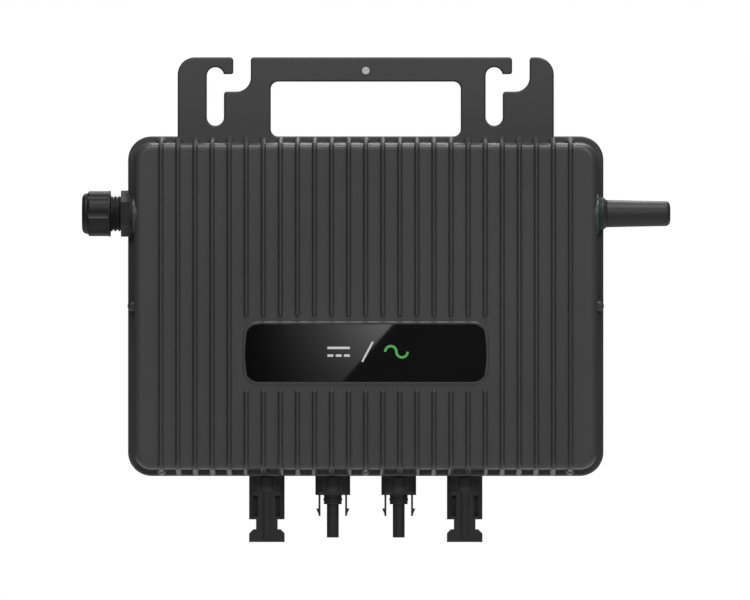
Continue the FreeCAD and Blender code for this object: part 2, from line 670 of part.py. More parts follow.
def antenna():
    antenna_part("antenna_seal", [("0.02", "4.2"), ("1.5", "4.2"), ("1.5", "9"), ("1.25", "9.25"),
                                  ("0.3", "9.25"), ("0.02", "9")])
    antenna_part("antenna_base", [("-9.5", "1.3"), ("-9.5", "3.9"), ("1.6", "3.9"),
                                  ("1.6", "8.9"), ("2.6", "8.9"), ("3.2", "8.5"), ("4.8", "7.3"),
                                  ("4.8", "1.3")])
    antenna_part("antenna_sheath", [("4.82", "2.9"), ("4.82", "7.5"), ("37.6", "6.82"),
                                    ("38.7", "6.1"), ("39.3", "5"), ("39.5", "3.6"),
                                    ("39.5", "0.6"), ("36", "0.6"), ("34", "2.9")])
    antenna_part("antenna_core", [("4.9", "0.4"), ("4.9", "2.6"), ("33", "2.6"), ("33", "0.4")])


# ------------------------------------------------ direct-current connectors


def upright_box(name, centre, wide, top, bottom, shift="0", y="PortY", deep="PortDepth"):
    """A box of a connector, between two drops below the wall."""
    return block(name, wide, deep, f"({bottom}) - ({top})", f"{centre} + ({shift})", y,
                 f"PortTop - (({top}) + ({bottom})) / 2")


def drop_rod(name, radius, centre, top, bottom, y="PortY"):
    """A cylinder of a connector, between two drops below the wall."""
    return rod(name, radius, f"({bottom}) - ({top})", centre, y, f"PortTop - ({bottom})")


def barrels(name, centre):
    """The round bulges on the front and back of a connector, with domed lower ends."""
    pieces = []
    for face, sign, out in (("front", "-", "BarrelOut"), ("back", "+", "SpineOut")):
        depth = f"PortY {sign} {out}"
        end = "BarrelEnd - BarrelRadius"
        pieces.append(drop_rod(f"{name}_barrel_{face}", "BarrelRadius", centre, "BarrelStart",
                               end, depth))
        dome = doc.addObject("Part::Sphere", f"{name}_dome_{face}")
        bind(dome, "Radius", "BarrelRadius")
        pieces.append(place(dome, centre, depth, f"PortTop - ({end})"))
    return pieces


def bevelled(name, source, width, test):
    """Chamfers the edges of a primitive that pass a test."""
    doc.recompute()
    chamfer = doc.addObject("Part::Chamfer", name)
    chamfer.Base = source
    chosen = []
    for i, edge in enumerate(source.Shape.Edges, start=1):
        if test(edge):
            chosen.append((i, size(width), size(width)))
    chamfer.Edges = chosen
    return chamfer


def is_upright(edge):
    return edge.BoundBox.ZLength > 1 and edge.BoundBox.XLength < 0.01


def is_side_at(edge, level):
    """Does the edge run from front to back at this height?"""
    box = edge.BoundBox
    return abs(box.ZMin - level) < 0.01 and abs(box.ZMax - level) < 0.01 and box.YLength > 5


def port_front_details(name, centre, windows):
    """Raised bars and sunk windows on the front and back of a connector."""
    bars, sunk = [], []
    for face, sign in (("front", "-"), ("back", "+")):
        at = f"PortY {sign} PortDepth / 2"
        for side, shift in (("left", "-6.1"), ("right", "6.1")):
            bars.append(upright_box(f"{name}_bar_{face}_{side}", centre, "3.4", "16.2", "18.2",
                                    shift, at, "1.0"))
            sunk.append(upright_box(f"{name}_notch_{face}_{side}", centre, "1.5", "9.0", "15.6",
                                    "6.3" if side == "right" else "-6.3", at, "1.2"))
            if windows:
                sunk.append(upright_box(f"{name}_window_{face}_{side}", centre, "2.6", "18.5",
                                        "30", shift, at, "8.0"))
    return bars, sunk


def dc_coupler(side, centre):
    """An outer connector: a socket shell with latch windows and a round mouth."""
    name = f"dc_coupler_{side}"
    shell = bevelled(f"{name}_shell", upright_box(f"{name}_block", centre, "CouplerWidth", "1",
                                                  "CouplerShell"), "PortChamfer", is_upright)
    neck = upright_box(f"{name}_neck", centre, "NeckWidth", "CouplerShell - 0.1",
                       "CouplerNeck + 0.1")
    brow = size("PortTop - CouplerNeck")
    head = bevelled(f"{name}_head", upright_box(f"{name}_ring", centre, "CouplerWidth",
                                                "CouplerNeck", "CouplerEnd"),
                    "PortChamfer", lambda edge: is_side_at(edge, brow))
    root = drop_rod(f"{name}_root", "PortRoot", centre, "-8", "1.5")
    spine = [drop_rod(f"{name}_spine_{face}", "BarrelRadius", centre, "BarrelStart",
                      "CouplerEnd - 1.5", f"PortY {sign} SpineOut")
             for face, sign in (("front", "-"), ("back", "+"))]
    bars, sunk = port_front_details(name, centre, True)
    solid = join(f"{name}_solid",
                 [shell, neck, head, root] + spine + barrels(name, centre) + bars)
    tools = [drop_rod(f"{name}_socket", "SocketRadius", centre, "18", "CouplerEnd + 1"),
             drop_rod(f"{name}_mouth", "SocketMouth", centre, "38.5", "CouplerEnd + 1"),
             drop_rod(f"{name}_pin_hole", "PinStem + 0.05", centre, "-9", "19")]
    for edge, shift in (("left", "-7.4"), ("right", "7.4")):
        tools.append(upright_box(f"{name}_latch_slot_{edge}", centre, "1.9", "CouplerNeck - 1",
                                 "CouplerEnd + 1", shift, "PortY", "7.2"))
    node(carve(name, solid, tools + sunk), name)


def dc_plug(side, centre):
    """An inner connector: a probe tube on a block that carries two latch fingers."""
    name = f"dc_plug_{side}"
    shell = bevelled(f"{name}_shell", upright_box(f"{name}_block", centre, "PlugWidth", "1",
                                                  "PlugBlock"), "PortChamfer", is_upright)
    root = drop_rod(f"{name}_root", "PortRoot", centre, "-8", "1.5")
    collar = drop_rod(f"{name}_collar", "CollarRadius", centre, "PlugBlock - 1", "PlugCollar")
    tube = drop_rod(f"{name}_tube", "TubeRadius", centre, "PlugBlock", "PlugTip")
    bars, sunk = port_front_details(name, centre, False)
    solid = join(f"{name}_solid", [shell, root, collar, tube] + barrels(name, centre) + bars)
    groove = carve(f"{name}_groove", drop_rod(f"{name}_groove_out", "6", centre, "19.6", "21.8"),
                   [drop_rod(f"{name}_groove_in", "3.9", centre, "19", "22.4")])
    tools = [drop_rod(f"{name}_bore", "TubeBore", centre, "-9", "PlugTip + 1"), groove]
    for edge, shift in (("left", "-FingerX"), ("right", "FingerX")):
        tools.append(upright_box(f"{name}_finger_seat_{edge}", centre, "FingerThick + 0.7",
                                 "FingerTop - 0.3", "PlugBlock + 1", shift, "PortY",
                                 "FingerWidth + 0.6"))
    node(carve(name, solid, tools + sunk), name)


def latch_finger(name, centre, side):
    """A springy finger with an outward hook at its tip; side is -1 for left and 1 for right."""
    strip = upright_box(f"{name}_strip", centre, "FingerThick", "FingerTop", "FingerEnd",
                        f"{side} * FingerX", "PortY", "FingerWidth")
    hook = doc.addObject("Part::Wedge", f"{name}_hook")
    for prop, formula in (("Xmin", "0"), ("Xmax", "HookOut - FingerX"), ("X2min", "0"),
                          ("X2max", "0.3"), ("Ymin", "0"), ("Ymax", "HookLowZ - HookTopZ"),
                          ("Zmin", "0"), ("Zmax", "FingerWidth"), ("Z2min", "0"),
                          ("Z2max", "FingerWidth")):
        bind(hook, prop, formula)
    turn = Rotation(Vector(1, 0, 0), -90)
    if side < 0:
        turn = Rotation(Vector(0, 0, 1), 180).multiply(turn)
    place(hook, f"{centre} + {side} * FingerX", f"PortY - {side} * FingerWidth / 2",
          "PortTop - HookTopZ", turn)
    node(join(name, [strip, hook]), name)


def contact(name, centre, profile):
    """A turned metal contact, measured downwards from the wall."""
    return turned(name, profile, centre, "PortY", "PortTop", DOWNWARD)


def dc_contacts():
    pin = [("-10.4", "0.3"), ("-10.4", "PinStem"), ("18.3", "PinStem"), ("18.6", "PinRadius"),
           ("PinTip - 1.2", "PinRadius"), ("PinTip - 0.3", "PinRadius - 0.7"), ("PinTip", "0.6"),
           ("PinTip", "0.3")]
    sleeve = [("-10.4", "0.3"), ("-10.4", "PinStem"), ("-2", "PinStem"), ("-1", "2.55"),
              ("39", "2.55"), ("39.4", "2.35"), ("39.4", "2.05"), ("25", "2.05"), ("24", "0.3")]
    for side, sign in (("left", "-"), ("right", "")):
        node(contact(f"dc_pin_{side}", f"{sign}CouplerX", pin), f"dc_pin_{side}")
        node(contact(f"dc_socket_{side}", f"{sign}PlugX", sleeve), f"dc_socket_{side}")


def small_rings():
    """Probe seals and the flat gaskets between the connectors and the wall."""
    probe = contact("probe_ring", "0", [("19.7", "3.95"), ("21.7", "3.95"), ("21.7", "4.9"),
                                        ("21.2", "5.2"), ("20.2", "5.2"), ("19.7", "4.9")])
    flat = contact("flat_ring", "0", [("0.02", "5.05"), ("0.98", "5.05"), ("0.98", "7.2"),
                                      ("0.02", "7.2")])
    group("probe_seals", probe, [(side * size("PlugX"), 0, 0) for side in (-1, 1)])
    group("dc_gaskets", flat, [(size(x), 0, 0) for x in port_places()])


# ------------------------------------------------------------------- inside


def main_board():
    board = block("board_blank", "BoardWidth", "BoardThick", "BoardHeight", "0",
                  "BoardFront + BoardThick / 2", "BoardZ")
    holes = []
    for i, (x, z) in enumerate(standoff_places()):
        holes.append(rod(f"board_hole_{i}", "ScrewHole", "BoardThick + 2", x, "BoardFront - 1",
                         z, ALONG_Y))
    node(carve("main_board", board, holes), "main_board")


def standoff_places():
    return [(x, z) for x in ("-StandoffX", "0", "StandoffX")
            for z in ("BoardZ - StandoffZ", "BoardZ + StandoffZ")]


def board_mounting():
    back, floor = "BoardFront + BoardThick", "TubDepth - CaseWall"
    post = carve("standoff",
                 rod("post", "StandoffRadius", f"{floor} - ({back})", y=back, turn=ALONG_Y),
                 [rod("post_bore", "ScrewTap", f"{floor} - ({back}) + 2", y=f"{back} - 1",
                      turn=ALONG_Y)])
    screw = join("board_screw", [rod("board_screw_head", "2.7", "1.6", y="BoardFront - 1.6",
                                     turn=ALONG_Y),
                                 rod("board_screw_shank", "ScrewRadius", "6.5",
                                     y="BoardFront - 0.1", turn=ALONG_Y)])
    places = [(size(x), 0, size(z)) for x, z in standoff_places()]
    group("board_standoffs", post, places)
    group("board_screws", screw, places)


def transformers():
    core = carve("core", block("core_block", "42", "20", "30"),
                 [block(f"core_window_{side}", "9", "30", "20", f"{side}12") for side in "-+"])
    coil = carve("coil", block("coil_block", "32.4", "25", "19.4"),
                 [block("coil_hole", "15.4", "20.4", "30")])
    places = [(x, size("BoardFront") - 12.6, -45.0) for x in (-36.0, 36.0)]
    group("transformer_cores", core, places)
    group("transformer_windings", coil, places)


def board_parts():
    """Loose components that stand on the front of the main board."""
    front = size("BoardFront")
    can = rod("can", "8", "25", y="BoardFront - 25.02", turn=ALONG_Y)
    group("bulk_capacitors", can, [(x, 0, z) for x in (-100, -80) for z in (-56, -37)])
    film = block("film", "18", "15", "9", y="BoardFront - 7.52")
    group("film_capacitors", film, [(88, 0, z) for z in (-58, -42, -26)])
    relay = block("relay", "20", "15.5", "10", y="BoardFront - 7.77")
    group("grid_relays", relay, [(-92, 0, z) for z in (-8, 6)])
    body = block("transistor_body", "10", "4.5", "15", y="FrontInner + 0.5 + 2.25")
    legs = [block(f"transistor_leg_{i}", "0.8", "BoardFront - FrontInner - 3", "0.8",
                  str(2.5 * (i - 1)), "(BoardFront + FrontInner + 2.98) / 2", "-6")
            for i in range(3)]
    switch = join("transistor", [body] + legs)
    places = [(x, 0, 66) for x in (-70, -50, -30, -10, 10, 30, 50, 70)]
    group("power_transistors", switch, places)
    group("thermal_pads", block("thermal_pad", "12", "0.5", "17", y="FrontInner + 0.25"), places)
    core = doc.addObject("Part::Torus", "choke_ring")
    bind(core, "Radius1", "12")
    bind(core, "Radius2", "3.5")
    core.Placement = FreeCAD.Placement(Vector(0, front - 6.5, 0), ALONG_Y)
    group("choke_core", core, [(92.0, 0, 8.0)])
    turns = []
    for i in range(14):
        wire = Part.makeTorus(4.6, 0.7, Vector(12, 0, 0), Vector(0, 1, 0))
        wire.rotate(Vector(), Vector(0, 0, 1), 360 / 16 * (i + 1.5))
        turns.append(wire)
    winding = doc.addObject("Part::Feature", "choke_winding")
    winding.Shape = Part.makeCompound(turns)
    winding.Placement = FreeCAD.Placement(Vector(92, front - 6.5, 8), ALONG_Y)
    node(winding, "choke_winding")
    control = block("control_board", "64", "1.2", "40", "0", "-7", "18")
    node(control, "control_board")
    chip = block("chip", "14", "1.2", "14", "0", "-8.2", "18")
    node(chip, "control_chip")
    header = block("header", "50", "12.38", "4", "0", "-0.2", "34")
    node(header, "board_header")
    fuse = rod("ac_fuse", "3", "22", "-104", "BoardFront - 3.02", "18")
    node(fuse, "ac_fuse")


def ac_terminal():
    base = block("terminal_base", "22", "15", "17", "-100", "BoardFront - 7.52", "56")
    wells = [rod(f"terminal_well_{i}", "2.6", "6", f"-100 + {7 * (i - 1)}",
                 "BoardFront - 15.5", "58", ALONG_Y) for i in range(3)]
    entries = [block(f"terminal_entry_{i}", "4", "4", "6", f"-100 + {7 * (i - 1)}",
                     "BoardFront - 5", "50") for i in range(3)]
    node(carve("ac_terminal_block", base, wells + entries), "ac_terminal_block")
    screw = rod("terminal_screw", "2.4", "3", y="BoardFront - 12.6", turn=ALONG_Y)
    group("ac_terminal_screws", screw, [(-100 + 7 * i, 0, 58) for i in (-1, 0, 1)])


def solder_straps():
    """Copper straps from the connector contacts to the board."""
    low, high = "PortTop + PortBlockHeight + 0.1", "BoardZ - BoardHeight / 2 + 8"
    strap = block("strap_bar", "3.6", "1.0", f"{high} - ({low})", "0", "BoardFront - 0.55",
                  f"(({low}) + ({high})) / 2")
    lug = block("strap_lug", "3.6", "0.8", "3.5", "0", "PortY - PinStem - 0.45", f"{low} + 1.75")
    group("dc_straps", join("strap", [strap, lug]), [(size(x), 0, 0) for x in port_places()])


def radio():
    module = block("radio_module", "17", "2.6", "25", "104", "BoardFront - 1.32", "52")
    node(module, "radio_module")
    start_x, end_y, bend = size("SeatX - SeatDepth") - 2.0, size("BoardFront") - 2.7, 6.0
    y, z = size("SeatY"), size("SeatZ")
    corner = Vector(start_x - 1 - bend, y, z)
    slope = bend * math.sqrt(0.5)
    middle = Vector(corner.x + bend - slope, y + bend - slope, z)
    path = Part.Wire([
        Part.makeLine(Vector(start_x, y, z), Vector(start_x - 1, y, z)),
        Part.Arc(Vector(start_x - 1, y, z), middle, Vector(corner.x, y + bend, z)).toShape(),
        Part.makeLine(Vector(corner.x, y + bend, z), Vector(corner.x, end_y, z)),
    ])
    ring = Part.Wire(Part.makeCircle(0.9, Vector(start_x, y, z), Vector(1, 0, 0)))
    coax = doc.addObject("Part::Feature", "antenna_coax")
    coax.Shape = path.makePipeShell([ring], True, False)
    node(coax, "antenna_coax")


def build():
    rear_case()
    front_housing()
    case_gasket()
    case_screws()
    earth_rivet()
    badge_panel()
    gland_gasket()
    gland_body()
    gland_seal()
    gland_claw()
    gland_nut()
    antenna()
    for side, sign in (("left", "-"), ("right", "")):
        dc_coupler(side, f"{sign}CouplerX")
        dc_plug(side, f"{sign}PlugX")
        latch_finger(f"latch_{side}_outer", f"{sign}PlugX", -1 if sign else 1)
        latch_finger(f"latch_{side}_inner", f"{sign}PlugX", 1 if sign else -1)
    dc_contacts()
    small_rings()
    main_board()
    board_mounting()
    transformers()
    board_parts()
    ac_terminal()
    solder_straps()
    radio()


def check_document():
    """Stops on any failed object or unsound sub-part."""
    doc.recompute()
    for item in doc.Objects:
        if "Invalid" in item.State or "Error" in item.State:
            raise RuntimeError(f"{item.Label} failed: {item.State}")
    for item in NODES:
        if item.Shape.isNull() or not item.Shape.isValid() or not item.Shape.Solids:
            raise RuntimeError(f"{item.Label} has no sound shape")


def export():
    os.makedirs("parts", exist_ok=True)
    for item in NODES:
        item.Shape.exportStep(f"parts/{item.Label}.step")
        box = item.Shape.BoundBox
        print(f"{item.Label:24s} solids {len(item.Shape.Solids):2d} volume "
              f"{item.Shape.Volume:10.1f}  x {box.XMin:7.1f} {box.XMax:7.1f}  "
              f"y {box.YMin:6.1f} {box.YMax:6.1f}  z {box.ZMin:7.1f} {box.ZMax:7.1f}")


build()
check_document()
export()
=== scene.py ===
"""A two-panel micro inverter: finishes, drawn details and a studio stage around its frame.

Units are metres. The origin is the middle of the case on the plane of its mounting face,
+X is right as seen from the front, +Z is up, and the front faces -Y.
"""

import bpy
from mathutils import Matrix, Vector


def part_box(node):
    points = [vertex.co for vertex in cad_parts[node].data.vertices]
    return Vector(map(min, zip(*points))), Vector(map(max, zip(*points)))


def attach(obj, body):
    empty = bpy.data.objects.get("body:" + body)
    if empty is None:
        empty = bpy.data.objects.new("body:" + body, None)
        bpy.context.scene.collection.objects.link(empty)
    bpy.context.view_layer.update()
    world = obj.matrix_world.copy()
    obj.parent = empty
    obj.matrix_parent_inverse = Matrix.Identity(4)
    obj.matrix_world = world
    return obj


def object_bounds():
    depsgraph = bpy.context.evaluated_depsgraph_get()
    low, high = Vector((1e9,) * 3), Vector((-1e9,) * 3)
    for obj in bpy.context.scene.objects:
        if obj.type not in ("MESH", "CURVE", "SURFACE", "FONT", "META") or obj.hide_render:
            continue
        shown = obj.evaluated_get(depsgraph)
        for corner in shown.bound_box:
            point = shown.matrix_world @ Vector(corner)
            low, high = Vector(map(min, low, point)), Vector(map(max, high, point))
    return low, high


bl_info = {
    "name": "Micro Inverter Finisher",
    "version": (1, 0, 0),
    "blender": (4, 5, 0),
    "location": "View3D > Sidebar > Inverter",
    "description": "Finishes a ribbed micro inverter and lights it on a studio stage",
    "category": "Object",
}

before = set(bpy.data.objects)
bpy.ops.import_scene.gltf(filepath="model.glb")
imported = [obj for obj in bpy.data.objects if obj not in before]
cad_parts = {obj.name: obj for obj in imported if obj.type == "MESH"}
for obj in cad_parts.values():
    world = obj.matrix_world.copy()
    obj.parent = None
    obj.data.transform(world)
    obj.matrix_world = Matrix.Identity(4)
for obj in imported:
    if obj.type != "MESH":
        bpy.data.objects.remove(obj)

import math

import bmesh
import bpy
from bpy.props import FloatProperty, FloatVectorProperty, PointerProperty
from bpy.types import Operator, Panel, PropertyGroup
from mathutils import Matrix, Vector

CAD_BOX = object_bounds()
BADGE_LOW, BADGE_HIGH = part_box("badge_panel")
BADGE_MIDDLE = (BADGE_LOW + BADGE_HIGH) / 2

# The printed sign: an arm is a bar or the wave, as a share of the sign's width; a dash is a
# share of an arm, and the slash's stroke a share of the bars'.
SIGN_SHIFT = Vector((0.001, 0.0, 0.0007))
ARM_SHARE = 0.28
DASH_SHARE = 0.26
BAR_RISE = 0.0021
SLASH_LENGTH = 0.0125
SLASH_STROKE = 0.8
SLASH_LEAN = 28.0
ARC_STEPS = 20

# The glare on the badge: a card before it with one edge leaning, in degrees. Its light grows
# from the first place to the second, across the card and up it.
GLARE_SIZE = (0.2, 0.3, 1.0)
GLARE_LEAN = 41.3
GLARE_PLACE = (-0.0002, -1.5, -0.0332)
GLARE_ACROSS = (-0.0894, 0.0116)
GLARE_UPWARD = (-0.0487, -0.016)
GLARE_LOWEST = 0.45

# The stage: the view's width is framed at FRONT_DEPTH before the origin. The floor is solid
# out to FLOOR_SOLID, and gone at FLOOR_FADED of its radius. The film is in millimetres.
FRONT_DEPTH = 0.015
LIGHT_TARGET = Vector((0.0, -FRONT_DEPTH, 0.0))
LEFT_FILL_SHARE = 0.65
FLOOR_SOLID = 0.35
FLOOR_FADED = 0.98
FILM_WIDTH = 36.0


# ------------------------------------------------------------------ settings


def colour(name, description, value):
    return FloatVectorProperty(name=name, description=description, subtype="COLOR", size=3,
                               min=0.0, max=1.0, default=value)


def length(name, description, value):
    return FloatProperty(name=name, description=description, subtype="DISTANCE",
                         unit="LENGTH", min=0.0, default=value)


def share(name, description, value):
    return FloatProperty(name=name, description=description, subtype="FACTOR",
                         min=0.0, max=1.0, default=value)


class FinishSettings(PropertyGroup):
    """Colours and textures of the object's finishes."""

    case_colour: colour("Case coat", "Powder coat of the plate and the hanger",
                        (0.054, 0.054, 0.055))
    housing_colour: colour("Housing coat", "Powder coat of the ribbed housing",
                           (0.056, 0.056, 0.057))
    coat_roughness: share("Coat roughness", "Roughness of the powder coat", 0.38)
    coat_grain: length("Coat grain", "Width of the powder coat's fine lumps", 0.00042)
    gland_colour: colour("Gland nylon", "Colour of the cable gland", (0.009, 0.009, 0.0094))
    antenna_colour: colour("Antenna plastic", "Colour of the antenna", (0.028, 0.028, 0.0285))
    connector_colour: colour("Connector plastic", "Colour of the solar connectors",
                             (0.023, 0.023, 0.0235))
    plastic_roughness: share("Plastic roughness", "Roughness of the moulded plastics", 0.5)
    rubber_colour: colour("Rubber", "Colour of the black seals", (0.012, 0.012, 0.012))
    seal_colour: colour("Antenna seal", "Colour of the ring under the antenna",
                        (0.006, 0.04, 0.026))
    badge_colour: colour("Badge", "Colour of the glossy badge panel", (0.004, 0.004, 0.0045))


class SymbolSettings(PropertyGroup):
    """The direct-to-alternating-current sign on the badge."""

    width: length("Sign width", "Width of the whole sign", 0.044)
    stroke: length("Stroke", "Width of the sign's lines", 0.0013)
    thickness: length("Ink thickness", "How far the sign stands off the badge", 0.00006)
    bar_colour: colour("Bar colour", "Colour of the bars and the slash", (0.86, 0.87, 0.87))
    wave_colour: colour("Wave colour", "Colour of the wave", (0.10, 0.56, 0.10))


class StageSettings(PropertyGroup):
    """Camera, floor and lights."""

    lens: FloatProperty(name="Lens", description="Focal length of the camera in millimetres",
                        min=50.0, default=500.0)
    view_width: length("View width", "Width that the camera frames at the object", 0.4125)
    view_x: FloatProperty(name="View centre X", description="Middle of the view, across",
                          subtype="DISTANCE", unit="LENGTH", default=0.0051)
    view_z: FloatProperty(name="View centre Z", description="Middle of the view, up",
                          subtype="DISTANCE", unit="LENGTH", default=0.0034)
    floor_drop: length("Floor drop", "Gap between the object and the floor", 0.12)
    floor_radius: length("Floor radius", "Radius of the pale floor", 1.15)
    key_power: FloatProperty(name="Key power", description="Power of the overhead softbox",
                             subtype="POWER", unit="POWER", min=0.0, default=14.0)
    fill_power: FloatProperty(name="Fill power", description="Power of the front softboxes",
                              subtype="POWER", unit="POWER", min=0.0, default=10.5)
    back_power: FloatProperty(name="Back power", description="Power of the rear softbox",
                              subtype="POWER", unit="POWER", min=0.0, default=24.0)
    glare: FloatProperty(name="Badge glare", description="Strength of the glare on the badge",
                         min=0.0, default=2.5)
    ambient: FloatProperty(name="Ambient", description="Strength of the surrounding light",
                           min=0.0, default=0.075)


# -------------------------------------------------------------- node helpers


def add_node(tree, kind, inputs=None, **settings):
    """Adds a node, with constant values on its sockets and settings on itself."""
    made = tree.nodes.new(kind)
    for key, value in settings.items():
        setattr(made, key, value)
    for key, value in (inputs or {}).items():
        made.inputs[key].default_value = value
    return made


def wire(tree, source, target):
    tree.links.new(source, target)


def maths(tree, operation, first, second=None, clamp=False):
    """A Math node between sockets or constants; gives its output."""
    made = add_node(tree, "ShaderNodeMath", operation=operation, use_clamp=clamp)
    for slot, value in enumerate((first, second)):
        if value is None:
            continue
        if isinstance(value, (int, float)):
            made.inputs[slot].default_value = value
        else:
            wire(tree, value, made.inputs[slot])
    return made.outputs[0]


def sized(tree, vector, size):
    """A vector output divided by a size socket, so that a pattern's cells have that size."""
    made = add_node(tree, "ShaderNodeVectorMath", operation="SCALE")
    wire(tree, vector, made.inputs[0])
    wire(tree, maths(tree, "DIVIDE", 1.0, size), made.inputs["Scale"])
    return made.outputs["Vector"]


def spread(tree, value, low, high, out_low=0.0, out_high=1.0):
    """A Map Range node; gives its result."""
    made = add_node(tree, "ShaderNodeMapRange",
                    {"From Min": low, "From Max": high, "To Min": out_low, "To Max": out_high})
    wire(tree, value, made.inputs["Value"])
    return made.outputs["Result"]


def blended(tree, mask, first, second):
    """A colour mix; first and second are colours or sockets."""
    made = add_node(tree, "ShaderNodeMix", data_type="RGBA")
    wire(tree, mask, made.inputs["Factor"])
    for key, value in (("A", first), ("B", second)):
        socket = [s for s in made.inputs if s.name == key and s.type == "RGBA"][0]
        if isinstance(value, bpy.types.NodeSocket):
            wire(tree, value, socket)
        else:
            socket.default_value = (*value, 1.0)
    return [s for s in made.outputs if s.type == "RGBA"][0]


def new_group(name, inputs, outputs):
    """A shader node group with named sockets; gives the tree and its two end nodes."""
    tree = bpy.data.node_groups.new(name, "ShaderNodeTree")
    for key, kind, value in inputs:
        socket = tree.interface.new_socket(key, in_out="INPUT", socket_type=kind)
        if value is not None:
            socket.default_value = value
    for key, kind in outputs:
        tree.interface.new_socket(key, in_out="OUTPUT", socket_type=kind)
    return tree, tree.nodes.new("NodeGroupInput"), tree.nodes.new("NodeGroupOutput")


def grain_group():
    """Fine lumps and slow drift of a coated or moulded surface."""
    tree, start, end = new_group(
        "Surface grain",
        [("Vector", "NodeSocketVector", None), ("Grain Size", "NodeSocketFloat", 0.0004),
         ("Drift Size", "NodeSocketFloat", 0.05)],
        [("Height", "NodeSocketFloat"), ("Drift", "NodeSocketFloat")])
    vector = start.outputs["Vector"]
    fine = add_node(tree, "ShaderNodeTexNoise", {"Scale": 1.0, "Detail": 3.0, "Roughness": 0.6})
    wire(tree, sized(tree, vector, start.outputs["Grain Size"]), fine.inputs["Vector"])
    slow = add_node(tree, "ShaderNodeTexNoise", {"Scale": 1.0, "Detail": 4.0, "Roughness": 0.55})
    wire(tree, sized(tree, vector, start.outputs["Drift Size"]), slow.inputs["Vector"])
    wire(tree, fine.outputs["Fac"], end.inputs["Height"])
    wire(tree, spread(tree, slow.outputs["Fac"], 0.3, 0.7), end.inputs["Drift"])
    return tree


def wear_group():
    """Where edges rub: the turn of the rounded normal, broken up by noise."""
    tree, start, end = new_group(
        "Edge wear",
        [("Vector", "NodeSocketVector", None), ("Radius", "NodeSocketFloat", 0.0005),
         ("Patch Size", "NodeSocketFloat", 0.006), ("Amount", "NodeSocketFloat", 0.5)],
        [("Mask", "NodeSocketFloat")])
    rounded = add_node(tree, "ShaderNodeBevel", samples=4)
    wire(tree, start.outputs["Radius"], rounded.inputs["Radius"])
    flat = add_node(tree, "ShaderNodeNewGeometry")
    turn = add_node(tree, "ShaderNodeVectorMath", operation="DOT_PRODUCT")
    wire(tree, rounded.outputs["Normal"], turn.inputs[0])
    wire(tree, flat.outputs["Normal"], turn.inputs[1])
    edge = spread(tree, turn.outputs["Value"], 0.995, 0.86)
    patches = add_node(tree, "ShaderNodeTexNoise", {"Scale": 1.0, "Detail": 5.0})
    wire(tree, sized(tree, start.outputs["Vector"], start.outputs["Patch Size"]),
         patches.inputs["Vector"])
    broken = maths(tree, "MULTIPLY", edge, spread(tree, patches.outputs["Fac"], 0.35, 0.7))
    wire(tree, maths(tree, "MULTIPLY", broken, start.outputs["Amount"], clamp=True),
         end.inputs["Mask"])
    return tree


def dust_group():
    """A thin film of dust on whatever faces up."""
    tree, start, end = new_group(
        "Settled dust",
        [("Vector", "NodeSocketVector", None), ("Amount", "NodeSocketFloat", 0.2)],
        [("Mask", "NodeSocketFloat")])
    flat = add_node(tree, "ShaderNodeNewGeometry")
    parts = add_node(tree, "ShaderNodeSeparateXYZ")
    wire(tree, flat.outputs["Normal"], parts.inputs[0])
    upward = spread(tree, parts.outputs["Z"], 0.45, 0.95)
    cloud = add_node(tree, "ShaderNodeTexNoise", {"Scale": 160.0, "Detail": 6.0})
    wire(tree, start.outputs["Vector"], cloud.inputs["Vector"])
    lying = maths(tree, "MULTIPLY", upward, spread(tree, cloud.outputs["Fac"], 0.38, 0.72))
    wire(tree, maths(tree, "MULTIPLY", lying, start.outputs["Amount"], clamp=True),
         end.inputs["Mask"])
    return tree


GROUP_MAKERS = {"Surface grain": grain_group, "Edge wear": wear_group,
                "Settled dust": dust_group}


def effect(tree, name, vector, **values):
    """Places a shared node group, with its own values."""
    group = bpy.data.node_groups.get(name) or GROUP_MAKERS[name]()
    made = tree.nodes.new("ShaderNodeGroup")
    made.node_tree = group
    wire(tree, vector, made.inputs["Vector"])
    for key, value in values.items():
        made.inputs[key.replace("_", " ").title()].default_value = value
    return made


def blank_material(name, **values):
    """A material with an empty Principled shader; gives the material, tree, shader, vector."""
    material = bpy.data.materials.new(name)
    material.use_nodes = True
    tree = material.node_tree
    tree.nodes.clear()
    end = tree.nodes.new("ShaderNodeOutputMaterial")
    shader = add_node(tree, "ShaderNodeBsdfPrincipled",
                      {key.replace("_", " "): value for key, value in values.items()})
    wire(tree, shader.outputs["BSDF"], end.inputs["Surface"])
    place = tree.nodes.new("ShaderNodeTexCoord")
    return material, tree, shader, place.outputs["Object"]


def bumped(tree, shader, height, distance, strength=1.0, rounding=None):
    """Feeds a height into the shader's normal, over an optional rounded edge."""
    bump = add_node(tree, "ShaderNodeBump", {"Strength": strength, "Distance": distance})
    wire(tree, height, bump.inputs["Height"])
    if rounding:
        soft = add_node(tree, "ShaderNodeBevel", {"Radius": rounding}, samples=4)
        wire(tree, soft.outputs["Normal"], bump.inputs["Normal"])
    wire(tree, bump.outputs["Normal"], shader.inputs["Normal"])


# ----------------------------------------------------------------- materials


